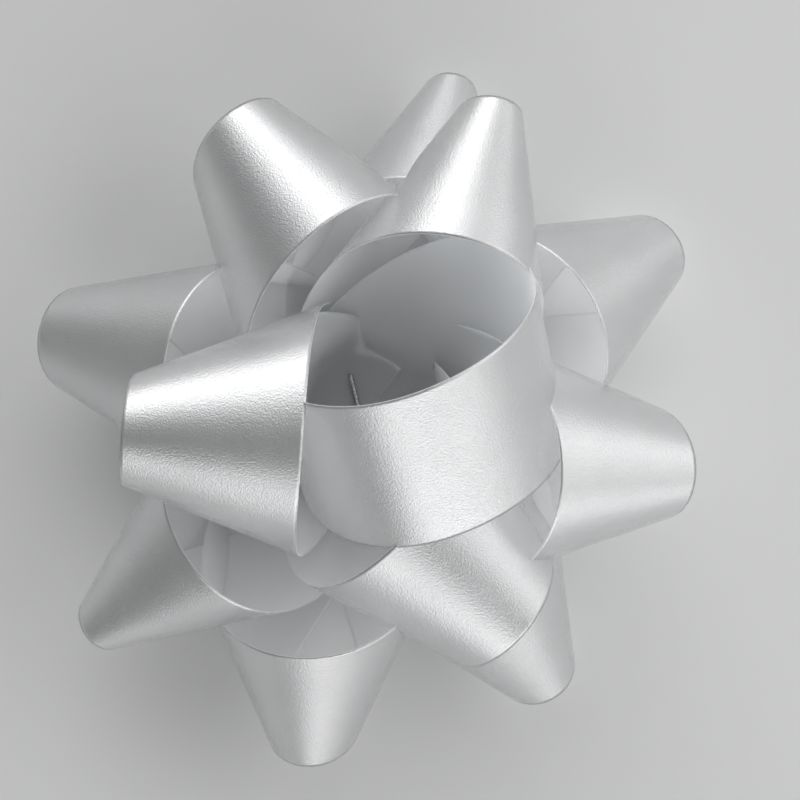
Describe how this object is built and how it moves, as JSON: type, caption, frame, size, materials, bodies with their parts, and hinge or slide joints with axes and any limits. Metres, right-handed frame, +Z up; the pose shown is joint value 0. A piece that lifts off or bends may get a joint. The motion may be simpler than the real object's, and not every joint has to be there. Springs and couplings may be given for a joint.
{
  "type": "gift bow",
  "caption": "Star-shaped gift bow of satin ribbon loops stapled to a card disc with a peel-off adhesive pad.",
  "frame": {"origin": "on the staple's axis, at the underside of the release liner", "axes": "+Z up out of the gift, through the staple and the centre ring; +X and +Y as in the view from above"},
  "size_m": [0.0743, 0.0798, 0.0406],
  "materials": {
    "satin_ribbon": "pearl silver polypropylene ribbon, satin with a fine embossed grain outside and matt white inside",
    "staple_wire": "drawn steel wire",
    "card": "white uncoated card, as a matt surface",
    "foam": "white closed-cell foam with a tacky adhesive skin",
    "liner_paper": "pale siliconised paper"
  },
  "bodies": {
    "bow": {"bottom_loop_1": "satin_ribbon", "bottom_loop_2": "satin_ribbon", "bottom_loop_3": "satin_ribbon", "bottom_loop_4": "satin_ribbon", "bottom_loop_5": "satin_ribbon", "middle_loop_1": "satin_ribbon", "middle_loop_2": "satin_ribbon", "middle_loop_3": "satin_ribbon", "top_loop_1": "satin_ribbon", "top_loop_2": "satin_ribbon", "top_loop_3": "satin_ribbon", "centre_ring": "satin_ribbon", "staple": "staple_wire", "card_disc": "card", "adhesive_pad": "foam"},
    "liner": {"release_liner": "liner_paper"}
  },
  "joints": [
    {"name": "liner_peel", "type": "slide", "parent": "bow", "child": "liner", "axis": [0, -1, 0], "range_m": [0, 0.05]}
  ]
}
